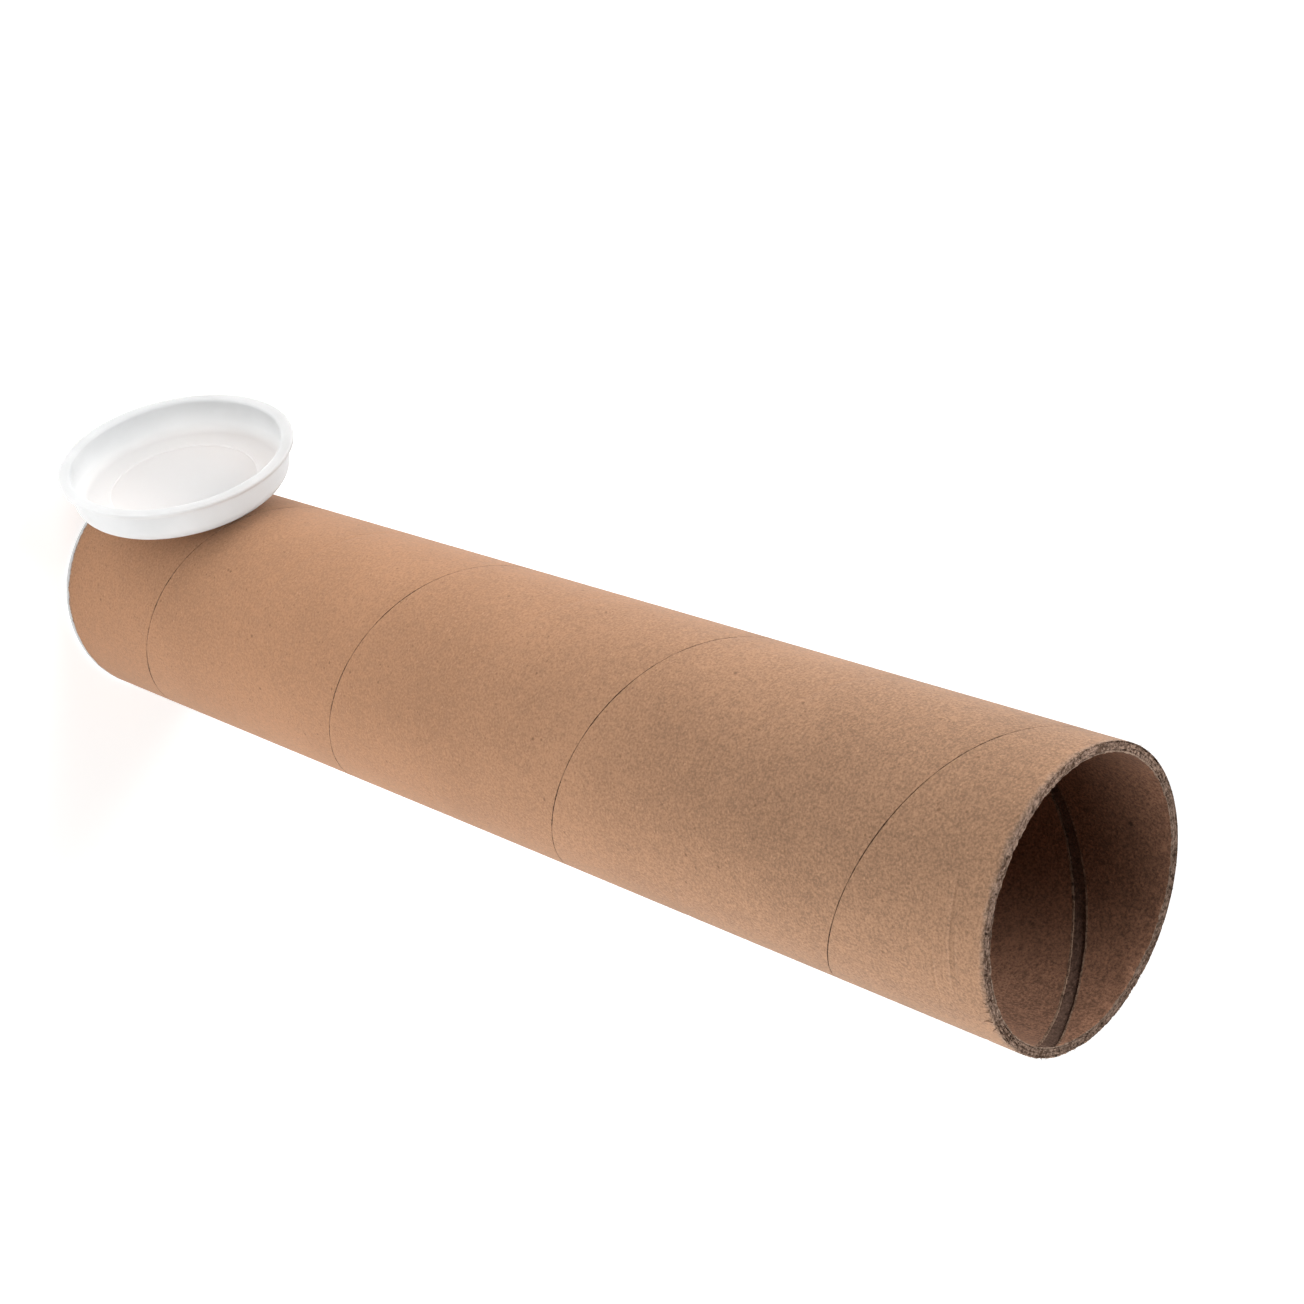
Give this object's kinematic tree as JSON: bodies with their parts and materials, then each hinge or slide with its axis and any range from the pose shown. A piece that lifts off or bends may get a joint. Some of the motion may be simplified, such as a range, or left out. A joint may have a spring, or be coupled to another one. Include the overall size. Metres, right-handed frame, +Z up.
{
  "type": "mailing tube",
  "caption": "Spiral-wound brown card tube standing on end, closed below by a white plastic plug cap, its other plug cap taken off and leaning at its foot, for posting rolled sheets.",
  "frame": {"origin": "centre of the bottom cap's outer face, which stands on the floor", "axes": "+Z up along the tube towards its open mouth; -Y towards the loose cap, which leans against the tube's foot with its hollow facing out"},
  "size_m": [0.08, 0.1033, 0.4015],
  "materials": {
    "kraft_board": "matte",
    "cap_plastic": "satin"
  },
  "bodies": {
    "caps": {"bottom_cap": "cap_plastic", "loose_cap": "cap_plastic"},
    "tube": {"tube": "kraft_board"}
  },
  "joints": [
    {"name": "tube_lift", "type": "slide", "parent": "caps", "child": "tube", "axis": [0, 0, 1], "range_m": [0, 0.04]}
  ]
}
